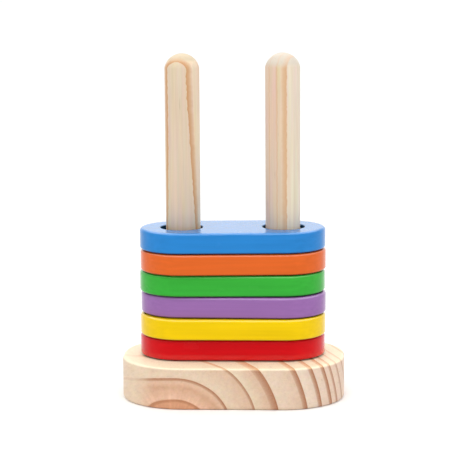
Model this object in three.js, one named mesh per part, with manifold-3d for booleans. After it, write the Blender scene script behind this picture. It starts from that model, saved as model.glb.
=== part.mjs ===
// A two-post wooden stacking tower: a rounded pine base with two upright pine posts, and six
// painted plates, each with two holes, that thread down over both posts one after another.
// Millimetres, +Z up. The origin is the centre of the base's underside, and +X runs from the
// left post to the right post.
import * as THREE from "three";
import { mergeVertices } from "three/addons/utils/BufferGeometryUtils.js";
import Module from "manifold-3d";

// ---- driving dimensions ----

const BASE_LENGTH = 134;
const BASE_DEPTH = 84;
const BASE_HEIGHT = 25;
const BASE_CORNER_RADIUS = 37.5;
const BASE_EDGE_RADIUS = 1.8;

const POST_SPACING = 60;
const POST_DIAMETER = 20.8;
const DOME_HEIGHT = 8.4; // less than a half ball, so the dome meets the side at a slight edge
const LEFT_POST_RISE = 182.2; // from the base's top face to the tip of the dome
const RIGHT_POST_RISE = 182.6;
const SOCKET_DEPTH = 15;
const SOCKET_CLEARANCE = 0.3; // the glue line round a post in its socket

const HOLE_PLAY = 4.4; // how much wider a hole is than its post
const HOLE_SPACING_EXTRA = 1.4; // how much further apart the holes stand than the posts
const HOLE_EDGE_RADIUS = 0.8;
const PLATE_WALL = 12.6; // wood left round each hole, to the ends and to both long sides
const PLATE_THICKNESS = 12.7;
const PLATE_EDGE_RADIUS = 1.8;

const TOUCHING_GAP = 0.3; // between two faces that rest on each other

// What fits over the posts follows from them.
const HOLE_DIAMETER = POST_DIAMETER + HOLE_PLAY;
const HOLE_SPACING = POST_SPACING + HOLE_SPACING_EXTRA;
const PLATE_DEPTH = HOLE_DIAMETER + 2 * PLATE_WALL;
const PLATE_LENGTH = HOLE_SPACING + PLATE_DEPTH;

// Each plate from the bottom up, with how it lies on the posts. The shift is along X and Y, and the
// swing is how far a twist about +Z carries the right hole towards the back. All three are shares
// of the room that a centred hole leaves round its post.
const PLATES = [
  { name: "red_plate", color: 0xcd141a, shift: [-0.3, 0.62], swing: 0.1 },
  { name: "yellow_plate", color: 0xf1cc02, shift: [-0.12, -0.74], swing: 0.04 },
  { name: "purple_plate", color: 0x9d6faf, shift: [0, 0.3], swing: -0.3 },
  { name: "green_plate", color: 0x40b240, shift: [-0.26, 0.4], swing: 0.32 },
  { name: "orange_plate", color: 0xe46d33, shift: [0, 0], swing: 0.76 },
  { name: "blue_plate", color: 0x3789d2, shift: [-0.14, 0.02], swing: 0.72 },
];
const PINE = 0xe9cfa4;

// ---- resolution of the faceted surfaces ----

const CORNER_STEPS = 10; // segments round each quarter-circle corner of a board
const ROUND_STEPS = 40; // segments round a post or a hole
const EDGE_STEPS = 2; // segments across a rounded edge
const DOME_STEPS = 7; // segments from a post's side up to the tip of its dome

// ---- solids: three.js geometry in, boolean cuts, three.js geometry out ----

const wasm = await Module();
wasm.setup();

/** A closed three.js geometry as a manifold-3d solid. */
function solidFrom(geometry) {
  const bare = geometry.clone();
  bare.deleteAttribute("normal");
  bare.deleteAttribute("uv");
  const merged = mergeVertices(bare, 1e-4);
  return new wasm.Manifold(
    new wasm.Mesh({
      numProp: 3,
      vertProperties: merged.attributes.position.array,
      triVerts: new Uint32Array(merged.index.array),
    }),
  );
}

/** A manifold-3d solid as a three.js geometry. */
function geometryFrom(solid) {
  const { vertProperties, triVerts } = solid.getMesh();
  const geometry = new THREE.BufferGeometry();
  geometry.setAttribute("position", new THREE.BufferAttribute(vertProperties, 3));
  geometry.setIndex(new THREE.BufferAttribute(triVerts, 1));
  geometry.computeVertexNormals();
  return geometry;
}

/** The solid left when every cutter is taken out of the body. */
function cutFrom(body, cutters) {
  return cutters.reduce((left, cutter) => left.subtract(cutter), body);
}

// ---- shapes ----

/** A rectangle centred on the origin whose corners are quarter circles. */
function roundedOutline(length, depth, cornerRadius) {
  const radius = Math.min(cornerRadius, depth / 2, length / 2);
  const x = length / 2 - radius;
  const y = depth / 2 - radius;
  const outline = new THREE.Shape();
  outline.moveTo(-x, -depth / 2);
  outline.absarc(x, -y, radius, -Math.PI / 2, 0, false);
  outline.absarc(x, y, radius, 0, Math.PI / 2, false);
  outline.absarc(-x, y, radius, Math.PI / 2, Math.PI, false);
  outline.absarc(-x, -y, radius, Math.PI, Math.PI * 1.5, false);
  return outline;
}

/** A flat board from z = 0 to its height, with its top and bottom edges rounded over. */
function board(length, depth, height, cornerRadius, edgeRadius) {
  const core = roundedOutline(
    length - 2 * edgeRadius,
    depth - 2 * edgeRadius,
    cornerRadius - edgeRadius,
  );
  const slab = new THREE.ExtrudeGeometry(core, {
    depth: height - 2 * edgeRadius,
    curveSegments: CORNER_STEPS,
    bevelEnabled: true,
    bevelThickness: edgeRadius,
    bevelSize: edgeRadius,
    bevelSegments: EDGE_STEPS,
  });
  return slab.translate(0, 0, edgeRadius);
}

/** A solid of revolution about +Z from a half profile of [radius, z] points, from the bottom up. */
function turned(profile) {
  const points = profile.map(([radius, z]) => new THREE.Vector2(radius, z));
  return new THREE.LatheGeometry(points, ROUND_STEPS).rotateX(Math.PI / 2);
}

/** The cutter for a hole through a plate, flared where the hole's two rims are rounded over. */
function holeCutter(x) {
  const radius = HOLE_DIAMETER / 2;
  const flared = radius + HOLE_EDGE_RADIUS;
  const rim = (z, up) => {
    const points = [];
    for (let i = 0; i <= EDGE_STEPS; i++) {
      const angle = (i / EDGE_STEPS) * (Math.PI / 2);
      points.push([
        flared - HOLE_EDGE_RADIUS * Math.sin(angle),
        z + up * HOLE_EDGE_RADIUS * (1 - Math.cos(angle)),
      ]);
    }
    return points;
  };
  const profile = [
    [0, -1],
    [flared, -1],
    ...rim(0, 1),
    ...rim(PLATE_THICKNESS, -1).reverse(),
    [flared, PLATE_THICKNESS + 1],
    [0, PLATE_THICKNESS + 1],
  ];
  return solidFrom(turned(profile).translate(x, 0, 0));
}

/** The cutter for a blind socket in the base's top face that a post is glued into. */
function socketCutter(x) {
  const radius = POST_DIAMETER / 2 + SOCKET_CLEARANCE;
  const height = SOCKET_DEPTH + 1; // runs on past the top face
  const cutter = new THREE.CylinderGeometry(radius, radius, height, ROUND_STEPS);
  cutter.rotateX(Math.PI / 2);
  return solidFrom(cutter.translate(x, 0, BASE_HEIGHT - SOCKET_DEPTH + height / 2));
}

// ---- pieces ----

function meshOf(name, geometry, color, roughness) {
  const mesh = new THREE.Mesh(
    geometry,
    new THREE.MeshStandardMaterial({ color, roughness, metalness: 0 }),
  );
  mesh.name = name;
  return mesh;
}

/** The pine base with one blind socket for each post. */
function base() {
  const blank = board(BASE_LENGTH, BASE_DEPTH, BASE_HEIGHT, BASE_CORNER_RADIUS, BASE_EDGE_RADIUS);
  const sockets = [-1, 1].map((side) => socketCutter((side * POST_SPACING) / 2));
  return meshOf("base", geometryFrom(cutFrom(solidFrom(blank), sockets)), PINE, 0.55);
}

/** A round post with a dome on top, standing in the socket on the given side of the base. */
function post(name, side, rise) {
  const radius = POST_DIAMETER / 2;
  const foot = BASE_HEIGHT - SOCKET_DEPTH + SOCKET_CLEARANCE;
  const tip = BASE_HEIGHT + rise;
  const ball = (radius ** 2 + DOME_HEIGHT ** 2) / (2 * DOME_HEIGHT);
  const widest = Math.asin(radius / ball);
  const profile = [[0, foot], [radius, foot]];
  for (let i = DOME_STEPS; i > 0; i--) {
    const angle = (i / DOME_STEPS) * widest; // from the tip, round the ball that the dome is cut from
    profile.push([ball * Math.sin(angle), tip - ball * (1 - Math.cos(angle))]);
  }
  profile.push([0, tip]);
  const mesh = meshOf(name, turned(profile), PINE, 0.5);
  mesh.position.x = (side * POST_SPACING) / 2;
  return mesh;
}

/** One painted plate, lying at its place in the stack. */
function plate({ name, color, shift, swing }, place) {
  const blank = board(
    PLATE_LENGTH,
    PLATE_DEPTH,
    PLATE_THICKNESS,
    PLATE_DEPTH / 2,
    PLATE_EDGE_RADIUS,
  );
  const holes = [-1, 1].map((side) => holeCutter((side * HOLE_SPACING) / 2));
  const mesh = meshOf(name, geometryFrom(cutFrom(solidFrom(blank), holes)), color, 0.25);
  const room = HOLE_PLAY / 2;
  const pitch = PLATE_THICKNESS + TOUCHING_GAP;
  mesh.rotation.z = Math.asin((swing * room) / (HOLE_SPACING / 2));
  mesh.position.set(shift[0] * room, shift[1] * room, BASE_HEIGHT + TOUCHING_GAP + place * pitch);
  return mesh;
}

// ---- assembly ----

const tower = new THREE.Group();
tower.add(base());
tower.add(post("left_post", -1, LEFT_POST_RISE));
tower.add(post("right_post", 1, RIGHT_POST_RISE));
PLATES.forEach((spec, place) => tower.add(plate(spec, place)));

export default tower;
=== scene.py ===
"""A two-post wooden stacking tower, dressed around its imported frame.

A rounded pine block carries two dome-topped pine dowels, and six lacquered boards, each with two
round holes, lie threaded over both dowels. Lengths are metres, or millimetres where a field says
so, in the frame's own axes: +Z up, +X from the left dowel to the right one, and -Y towards the
front.
"""

import logging
import math
from dataclasses import dataclass, field
from enum import Enum
from typing import Any, Sequence

import bpy
import numpy as np
from mathutils import Matrix, Vector


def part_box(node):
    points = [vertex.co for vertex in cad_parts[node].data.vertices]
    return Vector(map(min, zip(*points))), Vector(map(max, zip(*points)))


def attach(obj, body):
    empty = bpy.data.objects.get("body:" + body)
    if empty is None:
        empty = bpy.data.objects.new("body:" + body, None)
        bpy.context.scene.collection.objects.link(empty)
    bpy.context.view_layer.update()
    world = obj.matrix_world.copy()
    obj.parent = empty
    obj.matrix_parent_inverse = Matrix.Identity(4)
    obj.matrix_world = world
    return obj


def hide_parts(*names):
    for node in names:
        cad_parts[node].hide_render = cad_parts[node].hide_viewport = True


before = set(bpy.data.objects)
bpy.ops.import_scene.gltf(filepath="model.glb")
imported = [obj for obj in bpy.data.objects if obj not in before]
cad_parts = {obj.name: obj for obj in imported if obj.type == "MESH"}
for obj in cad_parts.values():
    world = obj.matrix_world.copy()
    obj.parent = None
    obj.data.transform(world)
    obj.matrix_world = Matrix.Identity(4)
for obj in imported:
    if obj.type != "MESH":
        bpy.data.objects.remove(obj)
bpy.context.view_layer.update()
LOG = logging.getLogger("stacking_tower")
MM = 0.001
FULL_TURN = 2.0 * math.pi
WELD = 1e-7  # points closer than this are one point
HALVINGS = 60  # enough to shrink a ray's bracket below rounding
FACE_MIX = (0.0, 0.03, 0.1, 0.3, 0.5, 0.7, 0.9, 0.97, 1.0)  # rows of a face, crowded at its rims
EDGE_STEPS = 8  # faces over a board's rounded outer edge
RIM_STEPS = 5  # faces over a hole's rounded rim
STRAIGHT_ROWS = 5  # rows down an upright wall, both ends included
DOME_ROWS = 25  # rows over a dowel's dome
DOWEL_ROWS = 12  # rows up its straight side

Grid = np.ndarray  # (rows, columns, 3) points
Numbers = np.ndarray
Colour = tuple[float, float, float]


# ---------------------------------------------------------------------------------------------
# Surfaces: grids of points joined into one closed mesh
# ---------------------------------------------------------------------------------------------


def quads_of(grid: Grid, first: int) -> Numbers:
    """Joins each point of a grid to its neighbours in the next row and the next column.

    Args:
        grid: Points as rows and columns. Rows run along the surface so that the face normal,
            row direction crossed with column direction, points outwards.
        first: The number of the grid's first point in the whole mesh.

    Returns:
        One line of four point numbers for each quad.
    """
    rows, columns = grid.shape[:2]
    number = first + np.arange(rows * columns).reshape(rows, columns)
    corners = (number[:-1, :-1], number[1:, :-1], number[1:, 1:], number[:-1, 1:])
    return np.stack([corner.ravel() for corner in corners], axis=1)


def mesh_of(name: str, grids: Sequence[Grid]) -> bpy.types.Object:
    """Welds grids into one smooth closed mesh.

    Points that fall on the same place become one point, which closes seams and poles. A quad
    that has lost one corner in that way becomes a triangle, and one that has lost two goes.

    Args:
        name: The new object's name.
        grids: Grids of points in metres, which meet along shared rows or columns.

    Returns:
        The object, linked to the scene and lying at the origin.
    """
    starts = np.cumsum([0] + [grid.shape[0] * grid.shape[1] for grid in grids])
    quads = np.concatenate([quads_of(grid, start) for grid, start in zip(grids, starts)])
    points = np.concatenate([grid.reshape(-1, 3) for grid in grids])
    _, kept, place = np.unique(
        np.round(points / WELD).astype(np.int64), axis=0, return_index=True, return_inverse=True
    )
    quads = place.reshape(-1)[quads]
    lost = quads == np.roll(quads, 1, axis=1)
    whole = quads[lost.sum(axis=1) == 0]
    halves = quads[lost.sum(axis=1) == 1]
    triangles = halves[~lost[lost.sum(axis=1) == 1]].reshape(-1, 3)
    mesh = bpy.data.meshes.new(name)
    mesh.from_pydata(points[kept].tolist(), [], whole.tolist() + triangles.tolist())
    mesh.polygons.foreach_set("use_smooth", np.ones(len(mesh.polygons), dtype=bool))
    mesh.update()
    piece = bpy.data.objects.new(name, mesh)
    bpy.context.scene.collection.objects.link(piece)
    return piece


def quarter_turn(steps: int) -> Numbers:
    """Angles from 0 to 90 degrees, in radians, ends included."""
    return np.linspace(0.0, math.pi / 2, steps + 1)


@dataclass(frozen=True)
class Outline:
    """A rectangle with round corners, centred on the origin.

    Attributes:
        length: Size along X.
        depth: Size along Y.
        corner: Radius of its corners.
    """

    length: float
    depth: float
    corner: float

    def _past_corner_centre(self, x: Numbers, y: Numbers) -> tuple[Numbers, Numbers]:
        """How far points lie beyond the corner centres.

        Args:
            x: The points' places along X.
            y: Their places along Y.

        Returns:
            The distances along X and along Y, negative between the centres.
        """
        across = np.abs(x) - (self.length / 2 - self.corner)
        along = np.abs(y) - (self.depth / 2 - self.corner)
        return across, along

    def distance(self, x: Numbers, y: Numbers) -> Numbers:
        """Signed distance from points to the outline.

        Beyond the corner centres both ways it is the distance to the nearest of them, and
        elsewhere the larger of the two straight distances beyond them, less the corner radius.

        Args:
            x: The points' places along X.
            y: Their places along Y.

        Returns:
            The distances, negative inside.
        """
        across, along = self._past_corner_centre(x, y)
        outside = np.hypot(np.maximum(across, 0), np.maximum(along, 0))
        return outside + np.minimum(np.maximum(across, along), 0) - self.corner

    def outward(self, x: Numbers, y: Numbers) -> tuple[Numbers, Numbers]:
        """The direction straight out of the outline at points on it.

        It points away from the nearest corner centre, or squarely out of a straight side.

        Args:
            x: The points' places along X.
            y: Their places along Y.

        Returns:
            The X parts and the Y parts of directions of length 1.
        """
        across, along = self._past_corner_centre(x, y)
        out_x, out_y = np.maximum(across, 0), np.maximum(along, 0)
        size = np.maximum(np.hypot(out_x, out_y), WELD)
        return np.sign(x) * out_x / size, np.sign(y) * out_y / size

    def inset(self, by: float) -> "Outline":
        """The same outline moved inwards by the given distance."""
        return Outline(self.length - 2 * by, self.depth - 2 * by, self.corner - by)


@dataclass(frozen=True)
class HoledBoard:
    """A flat board with rounded edges and two round holes side by side.

    It is worked out one half at a time. Each half is a fan of columns round its hole's axis.
    A column starts at the hole, runs over the flat face to the outline or to the board's middle
    line, and where it has met the outline goes on round the edge and down the side.

    Attributes:
        outline: The board's widest outline.
        height: Its thickness.
        edge: Radius that its outer edges are rounded to.
        spacing: Distance between the two holes' axes.
        hole: Radius of a hole.
        rim: Radius that a hole's rims are rounded to.
        hole_depth: How deep a hole goes, or None where it goes right through.
        around: Number of columns round a hole.
    """

    outline: Outline
    height: float
    edge: float
    spacing: float
    hole: float
    rim: float
    hole_depth: float | None = None
    around: int = 144

    def _columns(self) -> tuple[Numbers, Numbers]:
        """Spreads the columns round a hole, by angle from +X about its axis.

        The two kinds part where the ray ends at the corner that the inset outline makes with
        the middle line, and each kind gets its share of the columns.

        Returns:
            Angles of the columns that meet the outline, then of those that meet the middle.
        """
        turn = math.atan2(self.outline.depth / 2 - self.edge, -self.spacing / 2)
        share = turn / math.pi
        outer = np.linspace(-turn, turn, round(self.around * share) + 1)
        middle = np.linspace(turn, FULL_TURN - turn, round(self.around * (1 - share)) + 1)
        return outer, middle

    def _reach(self, turns: Numbers) -> tuple[Numbers, Numbers]:
        """Where rays from the right hole's axis meet the inset outline or the middle line.

        The crossing is found by halving: each ray's bracket is cut in two, and the half that
        holds the crossing is kept.

        Args:
            turns: The rays' angles.

        Returns:
            The crossings' places along X and along Y.
        """
        core = self.outline.inset(self.edge)
        near = np.zeros_like(turns)
        far = np.full_like(turns, self.outline.length)
        for _ in range(HALVINGS):
            middle = (near + far) / 2
            x = self.spacing / 2 + middle * np.cos(turns)
            y = middle * np.sin(turns)
            inside = np.maximum(core.distance(x, y), -x) < 0
            near, far = np.where(inside, middle, near), np.where(inside, far, middle)
        x = self.spacing / 2 + near * np.cos(turns)
        return np.where(np.abs(x) < WELD, 0.0, x), near * np.sin(turns)

    def _ring(self, turns: Numbers, radius: float, z: float) -> Grid:
        """One row of points round the right hole's axis."""
        x = self.spacing / 2 + radius * np.cos(turns)
        return np.stack([x, radius * np.sin(turns), np.full_like(turns, z)], axis=-1)

    def _face(self, turns: Numbers, radius: float, z: float) -> Grid:
        """A flat face from a ring round the hole out to the inset outline.

        A row is the ring and the outline mixed: 1 less the row's share of the one, and that
        share of the other. Rows crowd at both so that the shading stays flat between them.

        Args:
            turns: The columns' angles.
            radius: The ring's radius.
            z: The face's height.

        Returns:
            The face's points, with the ring first.
        """
        mix = np.array(FACE_MIX)[:, None, None]
        x, y = self._reach(turns)
        rim = np.stack([x, y, np.full_like(x, z)], axis=-1)
        return (1 - mix) * self._ring(turns, radius, z)[None] + mix * rim[None]

    def _side(self, turns: Numbers) -> Grid:
        """The rounded top edge, the upright side and the rounded bottom edge.

        A point stands out from the inset outline by the edge radius times the sine of its
        angle, and drops from the face by the radius times one less the cosine.

        Args:
            turns: The columns' angles.

        Returns:
            The points, from the top face's rim down to the bottom face's.
        """
        core = self.outline.inset(self.edge)
        x, y = self._reach(turns)
        out_x, out_y = core.outward(x, y)
        angle = quarter_turn(EDGE_STEPS)
        out = self.edge * np.sin(angle)
        drop = self.edge * (1 - np.cos(angle))
        lines = np.linspace(self.height - self.edge, self.edge, STRAIGHT_ROWS)[1:-1]
        out = np.concatenate([out, np.full_like(lines, self.edge), out[::-1]])
        z = np.concatenate([self.height - drop, lines, drop[::-1]])
        rows = np.broadcast_to(z[:, None], (len(z), len(turns)))
        return np.stack([x + out[:, None] * out_x, y + out[:, None] * out_y, rows], axis=-1)

    def _bore(self, turns: Numbers) -> Grid:
        """The hole's wall with rounded rims, or its wall and flat floor where it is blind.

        At a rim the radius flares by the rim's radius times one less the sine of the angle, and
        the wall drops from the face by the rim's radius times one less the cosine.

        Args:
            turns: The columns' angles.

        Returns:
            The points, from the top rim down.
        """
        angle = quarter_turn(RIM_STEPS)
        flare = self.rim * (1 - np.sin(angle))
        drop = self.rim * (1 - np.cos(angle))
        floor = 0.0 if self.hole_depth is None else self.height - self.hole_depth
        lines = np.linspace(self.height - self.rim, floor + self.rim, STRAIGHT_ROWS)[1:-1]
        if self.hole_depth is None:
            radii = np.concatenate([flare, np.zeros_like(lines), flare[::-1]]) + self.hole
            z = np.concatenate([self.height - drop, lines, drop[::-1]])
        else:
            radii = np.concatenate([flare, np.zeros_like(lines), [0.0]]) + self.hole
            radii = np.append(radii, 0.0)
            z = np.concatenate([self.height - drop, lines, [floor, floor]])
        rows = [self._ring(turns, radius, level) for radius, level in zip(radii, z)]
        return np.stack(rows)

    def _half(self) -> list[Grid]:
        """Works out the right half, with faces turned outwards.

        Returns:
            The grids of the bore, the top face, the side and the bottom face.
        """
        outer, middle = self._columns()
        everywhere = np.concatenate([outer, middle[1:]])
        mouth = self.hole + self.rim
        under = mouth if self.hole_depth is None else 0.0
        return [
            self._bore(everywhere)[::-1],
            self._face(everywhere, mouth, self.height),
            self._side(outer),
            self._face(everywhere, under, 0.0)[::-1],
        ]

    def grids(self) -> list[Grid]:
        """Works out the whole board; its left half is the right one turned half round about +Z.

        Returns:
            The right half's grids and then the left half's.
        """
        right = self._half()
        left = [grid * np.array([-1.0, -1.0, 1.0]) for grid in right]
        return right + left


@dataclass(frozen=True)
class DomedDowel:
    """A round post with a flat foot and a dome that is a cap cut from a ball.

    Attributes:
        radius: The post's radius.
        foot: Height of its foot.
        tip: Height of the dome's tip.
        dome: How far the dome stands above the straight side.
        chamfer: Size of the foot's chamfer.
        around: Number of columns round it.
    """

    radius: float
    foot: float
    tip: float
    dome: float
    chamfer: float = 0.8 * MM
    around: int = 96

    def grid(self) -> Grid:
        """The profile of radius against height, carried once round the axis.

        The foot has a small chamfer and the side is straight. The ball that the dome is cut
        from has the radius (r * r + d * d) / (2 * d), with r the post's radius and d the dome's
        height. At angle a from the tip, a point on the dome stands off the axis by the ball's
        radius times sin a, and under the tip by that radius times 1 less cos a.

        Returns:
            The points, from the tip down to the foot.
        """
        ball = (self.radius**2 + self.dome**2) / (2 * self.dome)
        angle = np.linspace(math.asin(self.radius / ball), 0.0, DOME_ROWS)
        side = np.linspace(self.foot + self.chamfer, self.tip - self.dome, DOWEL_ROWS)
        radii = [[0.0, self.radius - self.chamfer], np.full_like(side, self.radius)]
        radii = np.concatenate(radii + [ball * np.sin(angle[1:])])
        cap = self.tip - ball * (1 - np.cos(angle[1:]))
        z = np.concatenate([[self.foot, self.foot], side, cap])
        turns = np.linspace(0, FULL_TURN, self.around + 1)
        x, y = np.outer(radii, np.cos(turns)), np.outer(radii, np.sin(turns))
        rows = np.broadcast_to(z[:, None], x.shape)
        return np.stack([x, y, rows], axis=-1)[::-1]


# ---------------------------------------------------------------------------------------------
# Shaders: sockets that add up like numbers
# ---------------------------------------------------------------------------------------------


@dataclass(frozen=True)
class Pattern:
    """One kind of noise.

    Attributes:
        waves: Waves per metre along X, Y and Z.
        detail: How many finer layers lie over it.
    """

    waves: tuple[float, float, float]
    detail: float = 2.0


class Value:
    """A node's output socket that builds Math nodes when it is reckoned with."""

    def __init__(self, shader: "Shader", socket: Any) -> None:
        """Keeps the shader that the socket belongs to, and the socket."""
        self.shader = shader
        self.socket = socket

    def _math(self, operation: str, *terms: Any) -> "Value":
        """Adds a Math node.

        Args:
            operation: The Math node's operation.
            terms: What goes into its sockets in order, as numbers or values.

        Returns:
            The node's result.
        """
        return self.shader.node("ShaderNodeMath", {"operation": operation}, dict(enumerate(terms)))

    def __add__(self, other: Any) -> "Value":
        """Sum."""
        return self._math("ADD", self, other)

    __radd__ = __add__

    def __sub__(self, other: Any) -> "Value":
        """Difference."""
        return self._math("SUBTRACT", self, other)

    def __rsub__(self, other: Any) -> "Value":
        """Difference, the other way round."""
        return self._math("SUBTRACT", other, self)

    def __mul__(self, other: Any) -> "Value":
        """Product."""
        return self._math("MULTIPLY", self, other)

    __rmul__ = __mul__

    def __truediv__(self, other: Any) -> "Value":
        """Quotient."""
        return self._math("DIVIDE", self, other)

    def __pow__(self, other: Any) -> "Value":
        """Power."""
        return self._math("POWER", self, other)

    def fraction(self) -> "Value":
        """What is left above the whole number below."""
        return self._math("FRACT", self)

    def smallest(self, other: Any) -> "Value":
        """The smaller of two."""
        return self._math("MINIMUM", self, other)

    def largest(self, other: Any) -> "Value":
        """The larger of two."""
        return self._math("MAXIMUM", self, other)

    def angle(self, across: "Value") -> "Value":
        """The angle whose tangent is this value over another, from -pi to pi."""
        return self._math("ARCTAN2", self, across)

    def ease(self, start: float, end: float) -> "Value":
        """0 below start, 1 above end, and a smooth climb between them."""
        inputs = {"Value": self, "From Min": start, "From Max": end}
        return self.shader.node("ShaderNodeMapRange", {"interpolation_type": "SMOOTHSTEP"}, inputs)


class Shader:
    """A material's node tree, filled by short calls."""

    def __init__(self, name: str) -> None:
        """Starts an empty material with one Principled shader on its output.

        Args:
            name: The material's name.
        """
        self.material = bpy.data.materials.new(name)
        self.material.use_nodes = True
        self.tree = self.material.node_tree
        self.tree.nodes.clear()
        self.surface = self.tree.nodes.new("ShaderNodeBsdfPrincipled")
        output = self.tree.nodes.new("ShaderNodeOutputMaterial")
        self.tree.links.new(self.surface.outputs[0], output.inputs["Surface"])

    @classmethod
    def over(cls, tree: bpy.types.NodeTree) -> "Shader":
        """The same short calls for a tree that is there already.

        Args:
            tree: The node tree.

        Returns:
            A shader with that tree, and with no material of its own.
        """
        shader = cls.__new__(cls)
        shader.tree = tree
        return shader

    def node(
        self,
        kind: str,
        settings: dict[str, Any] | None = None,
        inputs: dict[str | int, Any] | None = None,
        output: str | int = 0,
    ) -> Value:
        """Adds one node.

        Args:
            kind: The node's type.
            settings: Its properties, set before its sockets. The name stops holds a ramp's
                list of place and value or colour, and ramp_interpolation how it runs between.
            inputs: What goes into its sockets, by name or number.
            output: Which output to hand back.

        Returns:
            The output as a value.
        """
        node = self.tree.nodes.new(kind)
        for key, setting in (settings or {}).items():
            if key == "stops":
                self._set_stops(node.color_ramp, setting)
            elif key == "ramp_interpolation":
                node.color_ramp.interpolation = setting
            else:
                setattr(node, key, setting)
        for key, value in (inputs or {}).items():
            self._feed(node.inputs[key], value)
        return Value(self, node.outputs[output])

    @staticmethod
    def _set_stops(ramp: Any, stops: Sequence[tuple[float, Any]]) -> None:
        """Writes a ramp's stops.

        Args:
            ramp: The node's colour ramp, with its first stops.
            stops: Places from 0 to 1, each with a colour, or with a number for a grey.
        """
        while len(ramp.elements) < len(stops):
            ramp.elements.new(1.0)
        for element, (place, value) in zip(ramp.elements, stops):
            element.position = place
            grey = isinstance(value, (int, float))
            element.color = (value, value, value, 1.0) if grey else (*value, 1.0)

    def _feed(self, socket: Any, value: Any) -> None:
        """Links a value into a socket, or writes a plain number or colour on it.

        Args:
            socket: The node's input.
            value: What it gets; a colour of three channels is made opaque.
        """
        if isinstance(value, Value):
            self.tree.links.new(value.socket, socket)
        elif isinstance(value, (tuple, list)) and socket.type == "RGBA" and len(value) == 3:
            socket.default_value = (*value, 1.0)
        else:
            socket.default_value = value

    def object_point(self) -> Value:
        """The place on the piece, in its object's own coordinates."""
        return self.node("ShaderNodeTexCoord", output="Object")

    def place(self, position: Sequence[float], turn: Sequence[float]) -> Value:
        """Object coordinates turned and then shifted into a pattern's own frame."""
        inputs = {"Vector": self.object_point(), "Location": position, "Rotation": turn}
        return self.node("ShaderNodeMapping", {"vector_type": "POINT"}, inputs)

    def vector(self, operation: str, *terms: Any) -> Value:
        """Adds a Vector Math node, with terms in the order of its sockets."""
        settings = {"operation": operation}
        return self.node("ShaderNodeVectorMath", settings, dict(enumerate(terms)))

    def part(self, vector: Value, axis: str) -> Value:
        """A vector's part along the axis of that name."""
        return self.node("ShaderNodeSeparateXYZ", {}, {0: vector}, axis)

    def noise(self, where: Value, pattern: Pattern, output: str | int = 0) -> Value:
        """Adds noise.

        Args:
            where: The place, in metres.
            pattern: Its waves along each axis and its detail.
            output: The first output is a number from 0 to 1, and Color holds three of them.

        Returns:
            The noise.
        """
        stretched = self.vector("MULTIPLY", where, pattern.waves)
        inputs = {"Vector": stretched, "Scale": 1.0, "Detail": pattern.detail}
        return self.node("ShaderNodeTexNoise", {"noise_dimensions": "3D"}, inputs, output)

    def ramp(self, value: Value, stops: Sequence[tuple[float, Any]], kind: str = "LINEAR") -> Value:
        """A value looked up in a list of stops, of the given interpolation."""
        settings = {"ramp_interpolation": kind, "stops": stops}
        return self.node("ShaderNodeValToRGB", settings, {0: value})

    def blend(self, share: Any, first: Any, second: Any, kind: str = "MIX") -> Value:
        """Two colours mixed.

        Args:
            share: How much of the second shows, from 0 to 1.
            first: A colour.
            second: A colour.
            kind: The Mix node's blend type.

        Returns:
            The colour.
        """
        settings = {"data_type": "RGBA", "blend_type": kind, "clamp_factor": True}
        return self.node("ShaderNodeMix", settings, {0: share, 6: first, 7: second}, 2)

    def tinted(self, colour: Value, factors: Any) -> Value:
        """A colour multiplied channel by channel."""
        return self.blend(1.0, colour, factors, "MULTIPLY")

    def bump(self, height: Value, distance: float) -> Value:
        """A normal bent by a height from 0 to 1 that stands for the given distance."""
        return self.node("ShaderNodeBump", {}, {"Height": height, "Distance": distance})

    def finish(self, **sockets: Any) -> bpy.types.Material:
        """Feeds the Principled shader.

        Args:
            sockets: Values by socket name, in which an underscore stands for a space.

        Returns:
            The finished material.
        """
        for name, value in sockets.items():
            self._feed(self.surface.inputs[name.replace("_", " ")], value)
        return self.material


# ---------------------------------------------------------------------------------------------
# Finishes
# ---------------------------------------------------------------------------------------------

# The colour that the holes' walls are darkened towards, as painted shade.
BLACK: Colour = (0.0, 0.0, 0.0)
MIDDLE = 0.5  # what noise is on average

# The paint's patterns, and the levels of noise between which smudges and nibs come in.
BRUSH_STREAKS = Pattern((14.0, 420.0, 520.0), 3.0)
PAINT_CLOUDS = Pattern((26.0, 40.0, 70.0))
PAINT_SMUDGES = Pattern((55.0, 60.0, 90.0), 3.0)
PAINT_NIBS = Pattern((900.0, 900.0, 900.0), 1.0)
PAINT_RIPPLES = Pattern((160.0, 220.0, 220.0), 1.0)
SMUDGE_LEVELS = (0.62, 0.74)
NIB_LEVELS = (0.7, 0.8)

# The wood's patterns, with the fibres along Z. The rays are the one pattern over an angle, and
# have waves per radian.
RING_DRIFT = Pattern((30.0, 30.0, 5.0), 1.5)
RING_RIPPLE = Pattern((80.0, 80.0, 330.0), 1.0)
WOOD_RAYS = Pattern((11.0, 1.0, 1.0))
WOOD_FIBRES = Pattern((1500.0, 1500.0, 45.0), 3.0)
WOOD_GRAIN = Pattern((560.0, 560.0, 12.0))
WOOD_BANDS = Pattern((160.0, 160.0, 8.0))
WOOD_CLOUDS = Pattern((22.0, 22.0, 9.0))
WOOD_HUES = Pattern((380.0, 380.0, 26.0), 3.0)
RESIN_CANALS = Pattern((1100.0, 1100.0, 70.0), 1.0)
CANAL_LEVELS = (0.745, 0.78)
YEAR_END = (0.985, 1.0)  # share of a year over which its late wood breaks off
RAY_SHADES: tuple[Colour, Colour] = ((0.84, 0.8, 0.76), (1.16, 1.2, 1.24))  # dusky, bright
STREAK_SHADES: tuple[Colour, Colour] = ((1.05, 1.06, 1.07), (0.95, 0.94, 0.93))  # light, dull

PAPER_MOTTLE = Pattern((3.0, 3.0, 3.0))


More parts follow.
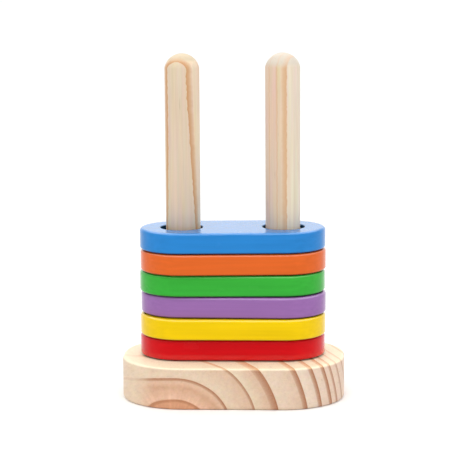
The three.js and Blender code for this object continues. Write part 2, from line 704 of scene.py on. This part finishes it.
def linear(red: int, green: int, blue: int) -> Colour:
    """A display colour as the linear colour that shaders take.

    A channel's share s of 255 becomes s / 12.92 up to 0.04045, and the power 2.4 of
    (s + 0.055) / 1.055 above.

    Args:
        red: The display's red, from 0 to 255.
        green: Its green.
        blue: Its blue.

    Returns:
        The linear colour.
    """
    shares = [channel / 255 for channel in (red, green, blue)]
    return tuple(s / 12.92 if s <= 0.04045 else ((s + 0.055) / 1.055) ** 2.4 for s in shares)


def scaled(colour: Colour, factor: float) -> Colour:
    """A colour with each channel multiplied by a factor and held at 1."""
    return tuple(min(1.0, channel * factor) for channel in colour)


@dataclass(frozen=True)
class Lacquer:
    """Gloss paint on a sanded board, with the board's grain just showing through.

    Attributes:
        name: The material's name.
        colour: The paint's linear colour.
        seed: Shifts the pattern so that no two boards carry the same marks, in metres.
        spacing: Distance between the board's holes.
        bore: Radius of a hole.
        thick: Brightness of the paint where it lies thick, as a share of its own colour.
        thin: The same where it lies thin.
        streaks: How far the tone changes from one brush streak to the next, from 0 to 1.
        clouds: How far it changes over a few centimetres, from 0 to 1.
        gloom: How far the holes' walls are darkened as painted shade, from 0 to 1.
        wall_edge: Distances past a hole's wall over which the wall's painted shade ends.
        seam: How much painted contact shadow shows along the board's foot, from 0 to 1.
        seam_shade: Brightness of that painted shadow, as a share of the paint's colour.
        seam_edge: Heights over which that painted shadow ends.
        roughness: The paint's roughness between smudges.
        gloss: How much of the clear coat shows, from 0 to 1.
        relief: Height of the paint's unevenness.
    """

    name: str
    colour: Colour
    seed: float
    spacing: float
    bore: float
    thick: float = 0.72
    thin: float = 1.12
    streaks: float = 0.588
    clouds: float = 0.308
    gloom: float = 0.8
    wall_edge: tuple[float, float] = (0.1 * MM, 0.7 * MM)
    seam: float = 0.9
    seam_shade: float = 0.2
    seam_edge: tuple[float, float] = (0.2 * MM, 1.2 * MM)
    roughness: float = 0.2
    gloss: float = 0.6
    relief: float = 0.06 * MM

    def _wall(self, shader: Shader, board: Value) -> Value:
        """Finds the holes' walls.

        The place along the board is taken without its sign, which finds both holes at once,
        and its distance from a hole's axis is compared with the hole's radius.

        Args:
            shader: Where the nodes go.
            board: The place on the board, in its own frame.

        Returns:
            1 on a wall and 0 on the board's faces.
        """
        along, across = shader.part(board, "X"), shader.part(board, "Y")
        aside = (along * along) ** 0.5 - self.spacing / 2
        reach = (aside * aside + across * across) ** 0.5
        start, end = self.wall_edge
        return 1.0 - reach.ease(self.bore + start, self.bore + end)

    def _colour(self, shader: Shader, board: Value, wall: Value, tone: Value) -> Value:
        """Paints the board, with painted shade on the holes' walls and a painted contact shadow
        along its foot.

        Args:
            shader: Where the nodes go.
            board: The place on the board, in its own frame.
            wall: 1 on a hole's wall and 0 elsewhere.
            tone: How thin the paint lies, from 0 to 1.

        Returns:
            The colour.
        """
        colour = shader.blend(tone, scaled(self.colour, self.thick), scaled(self.colour, self.thin))
        # Painted shade: the holes' walls are darkened towards black.
        colour = shader.blend(wall * self.gloom, colour, BLACK)
        # Painted contact shadow: the paint darkens along the board's foot, where it sits on what
        # lies below.
        foot = 1.0 - shader.part(board, "Z").ease(*self.seam_edge)
        return shader.blend(foot * self.seam, colour, scaled(self.colour, self.seam_shade))

    def material(self, centre: Sequence[float], turn: float) -> bpy.types.Material:
        """Builds the paint for a board.

        Args:
            centre: The middle of the board's underside.
            turn: The board's twist about +Z, in radians.

        Returns:
            The material.
        """
        shader = Shader(self.name)
        back = Matrix.Rotation(-turn, 3, "Z") @ Vector(centre)
        board = shader.place(tuple(-back), (0.0, 0.0, -turn))
        here = shader.vector("ADD", board, (self.seed, self.seed, 0.0))
        streak = shader.noise(here, BRUSH_STREAKS)
        cloud = shader.noise(here, PAINT_CLOUDS)
        tone = (streak - MIDDLE) * self.streaks + (cloud - MIDDLE) * self.clouds + 0.5
        wall = self._wall(shader, board)
        smudge = shader.noise(here, PAINT_SMUDGES).ease(*SMUDGE_LEVELS)
        nib = shader.noise(here, PAINT_NIBS).ease(*NIB_LEVELS)
        uneven = streak * 0.6 + nib * 0.5 + shader.noise(here, PAINT_RIPPLES) * 0.6
        return shader.finish(
            Base_Color=self._colour(shader, board, wall, tone),
            Roughness=smudge * 0.14 + streak * 0.06 + self.roughness,
            Normal=shader.bump(uneven, self.relief),
            Coat_Weight=(1.0 - wall) * self.gloss,
            Coat_Roughness=0.1,
            Specular_IOR_Level=0.08,
        )


@dataclass(frozen=True)
class Ring:
    """One year of a pine's growth.

    Attributes:
        radius: Distance from the pith to the ring's outer edge, in millimetres.
        late: Width of its dark late wood, in millimetres.
        depth: How dark that is, from 0 to 1.
    """

    radius: float
    late: float
    depth: float


@dataclass(frozen=True)
class Crown:
    """A tone laid over the top of a piece of pine.

    On the block it is paler: partly the sanded long grain's own tone, and partly painted light
    where overhead light falls on it. On the dowels it gives the domes their own colours.

    Attributes:
        level: Height above which the wood is paler, in millimetres.
        fade: The height over which it turns so, in millimetres.
        ground: Linear colour there between the dark lines.
        late: Linear colour there of the dark lines.
        share: How much of these colours shows, from 0 to 1.
    """

    level: float
    fade: float
    ground: Colour
    late: Colour
    share: float = 0.9

    def over(self, shader: Shader, wood: Value, dark: Value) -> Value:
        """Lays the crown's colours over the wood.

        Args:
            shader: Where the nodes go.
            wood: The wood's own colour.
            dark: How dark the late wood is, from 0 to 1.

        Returns:
            The colour.
        """
        height = shader.part(shader.object_point(), "Z") / MM
        top = height.ease(self.level - self.fade, self.level)
        return shader.blend(top * self.share, wood, shader.blend(dark, self.ground, self.late))


@dataclass(frozen=True)
class FlatSide:
    """The -X side of a pith, where rings run out into nearly straight lines and fade.

    Attributes:
        colour: Linear colour of the wood there.
        reach: Distances from the pith between which the side comes in, in millimetres.
        level: Heights over the pith between which rings turn straight, in millimetres.
        bend: Distances from the pith between which the lines bend up, in millimetres.
        lift: How far they bend up, in millimetres.
        share: How much of its colour shows, from 0 to 1.
        fading: How much of the lines' darkness is lost, from 0 to 1.
    """

    colour: Colour
    reach: tuple[float, float] = (11.0, 23.0)
    level: tuple[float, float] = (15.0, 34.0)
    bend: tuple[float, float] = (20.0, 28.0)
    lift: float = 1.2
    share: float = 0.9
    fading: float = 0.8

    def straighten(self, across: Value, up: Value) -> tuple[Value, Value]:
        """Turns rings into straight lines.

        The sideways part of a place fades out with its height over the pith, so that only the
        height is left to tell the rings apart, and the height is lowered far out.

        Args:
            across: Millimetres from the pith along X.
            up: Millimetres above the pith.

        Returns:
            Both, changed on the -X side alone.
        """
        left = across.smallest(0.0)
        dip = (left * -1.0).ease(*self.bend) * self.lift
        return across.largest(0.0) + left * (1.0 - up.ease(*self.level)), up - dip

    def over(self, shader: Shader, across: Value, pale: Value, dark: Value) -> tuple[Value, Value]:
        """Lays the side's colour over the wood and fades its lines.

        Args:
            shader: Where the nodes go.
            across: Millimetres from the pith along X.
            pale: The colour between the dark lines.
            dark: How dark the lines are, from 0 to 1.

        Returns:
            The colour and the darkness.
        """
        aside = (across.smallest(0.0) * -1.0).ease(*self.reach)
        pale = shader.blend(aside * self.share, pale, self.colour)
        return pale, dark * (1.0 - aside * self.fading)


@dataclass(frozen=True)
class Pine:
    """Clear-lacquered pine, as growth rings round a pith line through space.

    Attributes:
        name: The material's name.
        pith: A point on the pith line, in millimetres.
        rise: The pith line's direction.
        rings: The years, from the pith outwards.
        ground: Linear colour of the wood between the dark lines, by distance from the pith in
            millimetres.
        late: Linear colour of the dark late wood.
        wander: How far rings stray from true circles, in millimetres.
        rays: How strongly pale rays fan out from the pith, from 0 to 1.
        ray_reach: Distances from the pith between which the rays die out, in millimetres.
        ragged: How far rings stray over a few millimetres of length, in millimetres.
        onset: Power that late wood darkens by across its width: abruptly below 1, evenly at 1.
        ripening: How far a year's pale wood turns towards the late colour by its end.
        tint: How far fine streaks lean towards pink, yellow and grey, from 0 to 1.
        roughness: The lacquer's roughness between the fibres.
        relief: Height of the fibres left standing by the sander.
        upright: Whether the fibres run straight up instead of along the pith line.
        flat_side: Where the rings run nearly straight, if they do.
        crown: The wood's paler top, if it has one.
    """

    name: str
    pith: tuple[float, float, float]
    rise: tuple[float, float, float]
    rings: tuple[Ring, ...]
    ground: tuple[tuple[float, Colour], ...]
    late: Colour
    wander: float = 0.5
    rays: float = 0.0
    ray_reach: tuple[float, float] = (18.0, 40.0)
    ragged: float = 0.1
    onset: float = 0.45
    ripening: float = 0.16
    tint: float = 0.12
    roughness: float = 0.46
    relief: float = 0.08 * MM
    upright: bool = False
    flat_side: FlatSide | None = None
    crown: Crown | None = None

    def _wood_frame(self) -> tuple[tuple[float, ...], tuple[float, ...]]:
        """Puts the pith line on the Z axis, and +X as near to the pattern's own X as it can lie.

        The three rows of the turn are X less its part along the pith line, the pith line
        crossed with that, and the pith line, each with a length of 1.

        Returns:
            The shift, in metres, and the turn, as angles about X, Y and Z.
        """
        rise = Vector(self.rise).normalized()
        level = Vector((1.0, 0.0, 0.0))
        across = (level - level.dot(rise) * rise).normalized()
        turn = Matrix((across, rise.cross(across), rise))
        return tuple(-(turn @ (Vector(self.pith) * MM))), tuple(turn.to_euler("XYZ"))

    def _offset(self, shader: Shader, here: Value) -> tuple[Value, Value]:
        """Where a place lies from the pith line, strayed so that no ring is a true circle.

        Args:
            shader: Where the nodes go.
            here: The place in the wood's own frame, in metres.

        Returns:
            Millimetres from the pith along X, and above it.
        """
        reach = 2.0 * self.wander * MM
        drift = shader.noise(here, RING_DRIFT, "Color")
        drift = shader.vector("SUBTRACT", drift, (MIDDLE, MIDDLE, MIDDLE))
        drift = shader.vector("MULTIPLY", drift, (reach, reach, 0.0))
        spot = shader.vector("ADD", here, drift)
        spot = shader.vector("MULTIPLY", spot, (1.0 / MM, 1.0 / MM, 1.0 / MM))
        return shader.part(spot, "X"), shader.part(spot, "Y") * -1.0

    def _radius(self, shader: Shader, here: Value, across: Value, up: Value) -> Value:
        """Distance from the pith line: the root of the sum of squares, and a fine ripple.

        Args:
            shader: Where the nodes go.
            here: The place in the wood's own frame, in metres.
            across: Millimetres from the pith along X.
            up: Millimetres above the pith.

        Returns:
            The distance in millimetres.
        """
        if self.flat_side:
            across, up = self.flat_side.straighten(across, up)
        ripple = (shader.noise(here, RING_RIPPLE) - MIDDLE) * (2.0 * self.ragged)
        return (across * across + up * up) ** 0.5 + ripple

    def _years(self, shader: Shader, radius: Value) -> tuple[Value, Value]:
        """How far through its year the wood is, and how dark it is.

        The ring number climbs by one over each year, and its fraction is the share of the
        year. Wood is pale at first, darkens over the late wood's width up to the ring's edge,
        and is pale again at once past it.

        Args:
            shader: Where the nodes go.
            radius: Distance from the pith in millimetres.

        Returns:
            The share of the year and the darkness, both from 0 to 1.
        """
        last = self.rings[-1].radius
        count = len(self.rings)
        share = radius / last
        inner = [0.0] + [ring.radius for ring in self.rings[:-1]]
        years = [(edge / last, i / count) for i, edge in enumerate(inner)] + [(1.0, 1.0)]
        phase = (shader.ramp(share, years) * float(count)).fraction()
        starts = [
            (edge / last, 1.0 - ring.late / (ring.radius - edge))
            for edge, ring in zip(inner, self.rings)
        ]
        depths = [(edge / last, ring.depth) for edge, ring in zip(inner, self.rings)]
        start = shader.ramp(share, starts, "CONSTANT")
        depth = shader.ramp(share, depths, "CONSTANT")
        climb = ((phase - start) / (1.0 - start)).largest(0.0) ** self.onset
        fall = 1.0 - phase.ease(*YEAR_END)
        return phase, climb * fall * depth

    def _ground(self, shader: Shader, radius: Value, phase: Value) -> Value:
        """The colour between the dark lines, which ripens with the square of the year's share.

        Args:
            shader: Where the nodes go.
            radius: Distance from the pith in millimetres.
            phase: The share of the year, from 0 to 1.

        Returns:
            The colour.
        """
        last = self.ground[-1][0]
        stops = [(place / last, colour) for place, colour in self.ground]
        early = shader.ramp(radius / last, stops)
        return shader.blend(phase * phase * self.ripening, early, self.late)

    def _rayed(self, shader: Shader, pale: Value, radius: Value, angle: Value) -> Value:
        """Fans paler and darker rays out from the pith.

        The rays are noise over the angle about the pith, and die out with distance from it.

        Args:
            shader: Where the nodes go.
            pale: The colour between the dark lines.
            radius: Distance from the pith in millimetres.
            angle: The angle about the pith, in radians.

        Returns:
            The colour.
        """
        fan = shader.node("ShaderNodeCombineXYZ", {}, {0: angle, 1: radius * 0.01})
        near = 1.0 - radius.ease(*self.ray_reach)
        share = (shader.noise(fan, WOOD_RAYS) - MIDDLE) * near * self.rays + 0.5
        return shader.blend(share, *(shader.tinted(pale, shade) for shade in RAY_SHADES))

    def _streaked(self, shader: Shader, pale: Value, here: Value, bands: Value) -> Value:
        """Breaks the wood up into streaks, bands and clouds of slightly different colour.

        Args:
            shader: Where the nodes go.
            pale: The colour between the dark lines.
            here: The place, with the fibres along its Z, in metres.
            bands: Noise from 0 to 1 in broad bands.

        Returns:
            The colour.
        """
        cloud = shader.noise(here, WOOD_CLOUDS)
        grain = shader.noise(here, WOOD_GRAIN)
        grey = (bands - MIDDLE) * 0.4 + (cloud - MIDDLE) * 0.6 + (grain - MIDDLE) * 1.6 + 0.5
        pale = shader.blend(grey, *(shader.tinted(pale, shade) for shade in STREAK_SHADES))
        hues = shader.noise(here, WOOD_HUES, "Color")
        hues = shader.vector("SUBTRACT", hues, (MIDDLE, MIDDLE, MIDDLE))
        hues = shader.vector("MULTIPLY", hues, (self.tint, 1.2 * self.tint, 1.8 * self.tint))
        return shader.tinted(pale, shader.vector("ADD", hues, (1.0, 1.0, 1.0)))

    def material(self) -> bpy.types.Material:
        """Builds the wood: rings, rays, fibres, resin flecks and a satin lacquer.

        Returns:
            The material.
        """
        shader = Shader(self.name)
        here = shader.place(*self._wood_frame())
        across, up = self._offset(shader, here)
        radius = self._radius(shader, here, across, up)
        phase, dark = self._years(shader, radius)
        pale = self._ground(shader, radius, phase)
        if self.flat_side:
            pale, dark = self.flat_side.over(shader, across, pale, dark)
        pale = self._rayed(shader, pale, radius, up.angle(across))
        if self.upright:
            here = shader.object_point()
        fibre = shader.noise(here, WOOD_FIBRES)
        bands = shader.noise(here, WOOD_BANDS)
        pale = self._streaked(shader, pale, here, bands)
        mask = (dark * ((fibre - MIDDLE) * 0.5 + 1.0)).smallest(1.0)
        wood = shader.blend(mask, pale, self.late)
        if self.crown:
            wood = self.crown.over(shader, wood, mask)
        thread = (fibre - MIDDLE).largest(0.0) * 0.5 + (bands - MIDDLE).largest(0.0) * 0.2
        wood = shader.blend(thread, wood, scaled(self.late, 0.72))
        canal = shader.noise(here, RESIN_CANALS).ease(*CANAL_LEVELS)
        wood = shader.blend(canal * 0.3, wood, scaled(self.late, 0.45))
        return shader.finish(
            Base_Color=wood,
            Roughness=fibre * 0.14 + self.roughness - dark * 0.06,
            Normal=shader.bump(fibre * 0.5 + canal * -0.6 + dark * 0.35, self.relief),
            Coat_Weight=0.05,
            Coat_Roughness=0.3,
            Specular_IOR_Level=0.22,
        )


# ---------------------------------------------------------------------------------------------
# Sub-assemblies
# ---------------------------------------------------------------------------------------------


def dress(
    piece: bpy.types.Object, material: bpy.types.Material, body: str, node: str
) -> None:
    """Gives a piece its finish and its place in the frame.

    Args:
        piece: The piece.
        material: Its material.
        body: The body that it moves with.
        node: The frame's node that it stands for.
    """
    piece.data.materials.append(material)
    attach(piece, body)
    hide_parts(node)
    faces = len(piece.data.polygons)
    LOG.info("%s rides on %s and stands for %s: %d faces", piece.name, body, node, faces)


class Side(Enum):
    """Which of the two posts."""

    LEFT = "left"
    RIGHT = "right"


BLOCK_PINE = Pine(
    name="block_pine",
    pith=(-34.3, -42.0, -17.4),
    rise=(-0.216, 1.0, -0.271),
    rings=(
        Ring(12.0, 1.0, 0.4),
        Ring(22.9, 1.7, 0.7),
        Ring(35.3, 1.8, 0.95),
        Ring(50.1, 1.7, 0.9),
        Ring(62.7, 4.3, 0.95),
        Ring(80.0, 3.4, 1.0),
        Ring(89.6, 3.0, 1.0),
        Ring(96.9, 2.6, 1.0),
        Ring(101.3, 1.8, 0.8),
        Ring(106.0, 1.5, 0.6),
        Ring(111.0, 1.4, 0.6),
        Ring(118.0, 1.4, 0.6),
        Ring(140.0, 1.4, 0.6),
    ),
    ground=(
        (0.0, linear(214, 156, 120)),
        (22.4, linear(216, 160, 124)),
        (23.4, linear(228, 188, 160)),
        (30.0, linear(209, 167, 137)),
        (32.0, linear(222, 184, 156)),
        (37.0, linear(222, 200, 174)),
        (48.0, linear(217, 186, 160)),
        (50.2, linear(222, 203, 176)),
        (58.0, linear(216, 184, 158)),
        (64.0, linear(224, 203, 180)),
        (77.0, linear(219, 192, 168)),
        (80.2, linear(224, 204, 184)),
        (98.0, linear(224, 199, 178)),
        (140.0, linear(228, 204, 184)),
    ),
    late=linear(168, 110, 74),
    rays=1.1,
    flat_side=FlatSide(linear(225, 203, 177)),
    # Paler top: the long grain's own tone, and painted light where overhead light falls on it.
    crown=Crown(24.6, 0.9, linear(249, 238, 208), linear(226, 172, 122)),
)

DOWEL_PINE = {
    Side.LEFT: Pine(
        name="left_dowel_pine",
        pith=(-16.4, 58.7, 170.0),
        rise=(0.155, -0.051, 1.0),
        rings=(
            Ring(52.0, 1.0, 0.6),
            Ring(60.6, 1.3, 0.5),
            Ring(68.8, 2.8, 1.0),
            Ring(77.0, 1.4, 0.7),
            Ring(90.0, 1.4, 0.7),
        ),
        ground=(
            (0.0, linear(226, 206, 180)),
            (66.5, linear(226, 207, 182)),
            (68.9, linear(213, 193, 169)),
            (90.0, linear(213, 193, 169)),
        ),
        late=linear(196, 146, 98),
        ragged=0.45,
        onset=0.8,
        tint=0.2,
        upright=True,
        crown=Crown(204.2, 2.0, linear(203, 186, 157), linear(208, 174, 140)),
    ),
    Side.RIGHT: Pine(
        name="right_dowel_pine",
        pith=(-24.7, 24.6, 150.0),
        rise=(0.0, 0.0, 1.0),
        rings=(
            Ring(52.8, 0.8, 0.5),
            Ring(56.9, 0.9, 0.7),
            Ring(62.4, 1.2, 0.65),
            Ring(67.0, 2.6, 1.0),
            Ring(78.0, 1.4, 0.6),
            Ring(90.0, 1.4, 0.6),
        ),
        ground=(
            (0.0, linear(216, 191, 169)),
            (61.0, linear(216, 191, 169)),
            (63.0, linear(216, 193, 164)),
            (66.9, linear(216, 193, 164)),
            (67.4, linear(220, 205, 183)),
            (90.0, linear(220, 205, 188)),
        ),
        late=linear(208, 166, 128),
        ragged=0.45,
        onset=0.8,
        tint=0.2,
        upright=True,
        crown=Crown(202.6, 4.0, linear(205, 196, 182), linear(212, 187, 162)),
    ),
}


@dataclass
class Stand:
    """The pine block and the two dowels glued into it.

    Attributes:
        corner: Radius of the block's corners in plan.
        edge: Radius of its rounded edges.
        glue_line: Gap round a dowel in its socket.
        socket_rim: Rounding of a socket's mouth.
        dome: How far a dowel's dome stands above its straight side.
        block: The block, once it is built.
        dowels: The dowels by side, once they are built.
    """

    corner: float = 37.5 * MM
    edge: float = 1.8 * MM
    glue_line: float = 0.12 * MM
    socket_rim: float = 0.3 * MM
    dome: float = 8.4 * MM
    block: bpy.types.Object | None = None
    dowels: dict[Side, bpy.types.Object] = field(default_factory=dict)

    def build(self) -> None:
        """Makes the block with its two blind sockets, and the dowels that stand in them."""
        low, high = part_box("base")
        boxes = {side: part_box(f"{side.value}_post") for side in Side}
        centres = {side: (box[0] + box[1]) / 2 for side, box in boxes.items()}
        radius = (boxes[Side.LEFT][1].y - boxes[Side.LEFT][0].y) / 2
        foot = boxes[Side.LEFT][0].z
        board = HoledBoard(
            outline=Outline(high.x - low.x, high.y - low.y, self.corner),
            height=high.z - low.z,
            edge=self.edge,
            spacing=centres[Side.RIGHT].x - centres[Side.LEFT].x,
            hole=radius + self.glue_line,
            rim=self.socket_rim,
            hole_depth=high.z - foot + self.glue_line,
        )
        self.block = mesh_of("base_block", board.grids())
        for side, box in boxes.items():
            dowel = DomedDowel(radius, foot=box[0].z, tip=box[1].z, dome=self.dome)
            axis = np.array([centres[side].x, centres[side].y, 0.0])
            self.dowels[side] = mesh_of(f"{side.value}_dowel", [dowel.grid() + axis])

    def dress(self) -> None:
        """Gives the block and the dowels their own pieces of pine."""
        dress(self.block, BLOCK_PINE.material(), "base", "base")
        for side, dowel in self.dowels.items():
            dress(dowel, DOWEL_PINE[side].material(), "base", f"{side.value}_post")


class Paint(Enum):
    """The boards from the bottom up, with the display colour of each one's paint."""

    RED = (217, 13, 23)
    YELLOW = (246, 205, 0)
    PURPLE = (155, 109, 173)
    GREEN = (58, 177, 60)
    ORANGE = (227, 104, 40)
    BLUE = (43, 133, 207)

    @property
    def word(self) -> str:
        """The colour's name in small letters."""
        return self.name.lower()


@dataclass
class PaintedBoard:
    """One lacquered board of the stack.

    Attributes:
        paint: Its colour.
        edge: Radius of its outer edges.
        rim: Radius of its holes' rims.
        hole: Radius of its holes.
        mark_step: How far the paint's marks are shifted from one board to the next.
        centre: The middle of its underside, once it is built.
        turn: Its twist about +Z in radians, once it is built.
        spacing: Distance between its holes, once it is built.
        piece: The board, once it is built.
    """

    paint: Paint
    edge: float = 1.8 * MM
    rim: float = 0.8 * MM
    hole: float = 12.6 * MM
    mark_step: float = 0.37
    centre: Vector = field(default_factory=Vector)
    turn: float = 0.0
    spacing: float = 0.0
    piece: bpy.types.Object | None = None

    def _lie(self) -> tuple[float, float]:
        """Reads how the frame's plate lies, and sets the board's centre and turn.

        The plate is the same at both ends and both sides, so the middle of its box is its
        centre and the main axis of its points is its long axis.

        Returns:
            Its length and its depth, measured along its own axes.
        """
        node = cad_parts[f"{self.paint.word}_plate"]
        points = np.array([vertex.co for vertex in node.data.vertices])
        middle = (points.min(axis=0) + points.max(axis=0)) / 2
        flat = (points - middle)[:, :2]
        _, axes = np.linalg.eigh(flat.T @ flat)
        long = axes[:, 1] * np.sign(axes[0, 1])
        self.centre = Vector((middle[0], middle[1], points[:, 2].min()))
        self.turn = math.atan2(long[1], long[0])
        across = np.array([-long[1], long[0]])
        return tuple(np.ptp(flat @ axis) for axis in (long, across))

    def build(self) -> None:
        """Makes the board in its own frame, then lays it where the frame's plate lies."""
        low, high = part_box(f"{self.paint.word}_plate")
        length, depth = self._lie()
        self.spacing = length - depth
        board = HoledBoard(
            outline=Outline(length, depth, depth / 2),
            height=high.z - low.z,
            edge=self.edge,
            spacing=self.spacing,
            hole=self.hole,
            rim=self.rim,
        )
        turn = np.array(Matrix.Rotation(self.turn, 3, "Z"))
        grids = [grid @ turn.T + np.array(self.centre) for grid in board.grids()]
        self.piece = mesh_of(f"{self.paint.word}_board", grids)

    def dress(self) -> None:
        """Paints the board."""
        lacquer = Lacquer(
            name=f"{self.paint.word}_lacquer",
            colour=linear(*self.paint.value),
            seed=self.mark_step * list(Paint).index(self.paint),
            spacing=self.spacing,
            bore=self.hole,
        )
        node = f"{self.paint.word}_plate"
        material = lacquer.material(self.centre, self.turn)
        dress(self.piece, material, node, node)


@dataclass
class Studio:
    """The floor, the light, the white room and the camera.

    Attributes:
        distance: From the tower's axis to the camera, along the ground.
        height: The camera's height over the floor.
        aside: How far the camera stands to the right of the view line.
        swing: The view line's turn about +Z, in degrees.
        pitch: How far the camera looks down, in degrees.
        roll: How far the camera leans to its right, in degrees.
        sensor: Width of the camera's sensor in millimetres.
        lens: Its focal length in millimetres.
        reach: From the floor's middle to its sides.
        drop: How far the floor lies under the block.
        paper: The floor's darkest and palest tones.
        lamp_place: Where the soft box stands, in front of the tower and overhead.
        lamp_aim: The point that it faces.
        lamp_size: Length of its side.
        lamp_power: Its power in watts.
        room_light: Brightness of the room for everything but gloss.
        wall: What gloss sees: brightness by depth, from 0 in front (-Y) to 1 behind (+Y).
        wall_scale: Brightness of the far wall where that is 1.
        ceiling: How much brighter gloss sees the ceiling.
        ceiling_rise: Heights of the view, from 0 level to 1 upright, over which it comes in.
    """

    distance: float = 1.2
    height: float = 0.29785
    aside: float = 2.33 * MM
    swing: float = 2.67
    pitch: float = 9.52
    roll: float = 0.32
    sensor: float = 36.0
    lens: float = 153.36
    reach: float = 30.0
    drop: float = 0.05 * MM
    paper: tuple[float, float] = (0.96, 0.98)
    lamp_place: tuple[float, float, float] = (0.0, -0.45, 1.25)
    lamp_aim: tuple[float, float, float] = (0.0, 0.0, 0.09)
    lamp_size: float = 0.7
    lamp_power: float = 3.8
    room_light: float = 1.03
    wall: tuple[tuple[float, float], ...] = (
        (0.0, 0.0), (0.15, 0.05), (0.33, 0.16), (0.5, 0.24), (0.65, 0.44), (0.8, 0.6), (1.0, 1.0)
    )
    wall_scale: float = 1.25
    ceiling: float = 4.0
    ceiling_rise: tuple[float, float] = (0.4, 0.85)

    def build(self) -> None:
        """Sets up the stage."""
        self._camera()
        self._floor()
        self._soft_box()
        self._room()

    def _camera(self) -> None:
        """A camera in front and a little above, that looks along +Y before it is turned."""
        camera = bpy.data.objects.new("camera", bpy.data.cameras.new("camera"))
        camera.data.lens = self.lens
        camera.data.sensor_width = self.sensor
        camera.data.clip_end = 3.0 * self.reach
        stand = Matrix.Rotation(math.radians(self.swing), 4, "Z") @ Matrix.Translation(
            (self.aside, -self.distance, self.height)
        )
        look = Matrix.Rotation(math.radians(90.0 - self.pitch), 4, "X")
        lean = Matrix.Rotation(math.radians(-self.roll), 4, "Z")
        camera.matrix_world = stand @ look @ lean
        bpy.context.scene.collection.objects.link(camera)
        bpy.context.scene.camera = camera

    def _floor(self) -> None:
        """A wide pale floor just under the block, which gloss doesn't show."""
        signs = [(-1, -1), (1, -1), (1, 1), (-1, 1)]
        corners = [(x * self.reach, y * self.reach, -self.drop) for x, y in signs]
        mesh = bpy.data.meshes.new("floor")
        mesh.from_pydata(corners, [], [(0, 1, 2, 3)])
        floor = bpy.data.objects.new("floor", mesh)
        bpy.context.scene.collection.objects.link(floor)
        shader = Shader("floor_paper")
        mottle = shader.noise(shader.object_point(), PAPER_MOTTLE)
        tone = shader.blend(mottle, *((grey, grey, grey) for grey in self.paper))
        mesh.materials.append(shader.finish(Base_Color=tone, Roughness=0.9, Specular_IOR_Level=0.1))
        floor.visible_glossy = False

    def _soft_box(self) -> None:
        """One square lamp that faces the tower, and that gloss doesn't show."""
        lamp = bpy.data.lights.new("overhead", "AREA")
        lamp.shape, lamp.size, lamp.energy = "SQUARE", self.lamp_size, self.lamp_power
        holder = bpy.data.objects.new("overhead", lamp)
        aim = Vector(self.lamp_aim) - Vector(self.lamp_place)
        holder.rotation_euler = aim.to_track_quat("-Z", "Y").to_euler()
        holder.location = self.lamp_place
        holder.visible_glossy = False
        bpy.context.scene.collection.objects.link(holder)

    def _room(self) -> None:
        """An evenly white room, in which gloss sees a dark wall in front and bright ones behind.

        The world isn't sampled as a lamp, so that gloss meets it by its own rays alone.
        """
        world = bpy.data.worlds.new("white_room")
        bpy.context.scene.world = world
        world.use_nodes = True
        world.cycles.sampling_method = "NONE"
        room = Shader.over(world.node_tree)
        way = room.object_point()
        wall = room.ramp(room.part(way, "Y") * 0.5 + 0.5, self.wall)
        wall = wall + room.part(way, "Z").ease(*self.ceiling_rise) * self.ceiling
        gloss = room.node("ShaderNodeLightPath", output="Is Glossy Ray")
        strength = gloss * wall * self.wall_scale + (1.0 - gloss) * self.room_light
        sky = world.node_tree.nodes["Background"]
        sky.inputs["Color"].default_value = (1.0, 1.0, 1.0, 1.0)
        room.tree.links.new(strength.socket, sky.inputs["Strength"])


def main() -> None:
    """Builds the tower and its stage in order."""
    logging.basicConfig(level=logging.INFO, format="%(name)s: %(message)s")
    bpy.context.scene.view_settings.view_transform = "Standard"
    Studio().build()
    stand = Stand()
    stand.build()
    stand.dress()
    for paint in Paint:
        board = PaintedBoard(paint)
        board.build()
        board.dress()


if __name__ == "__main__":
    main()
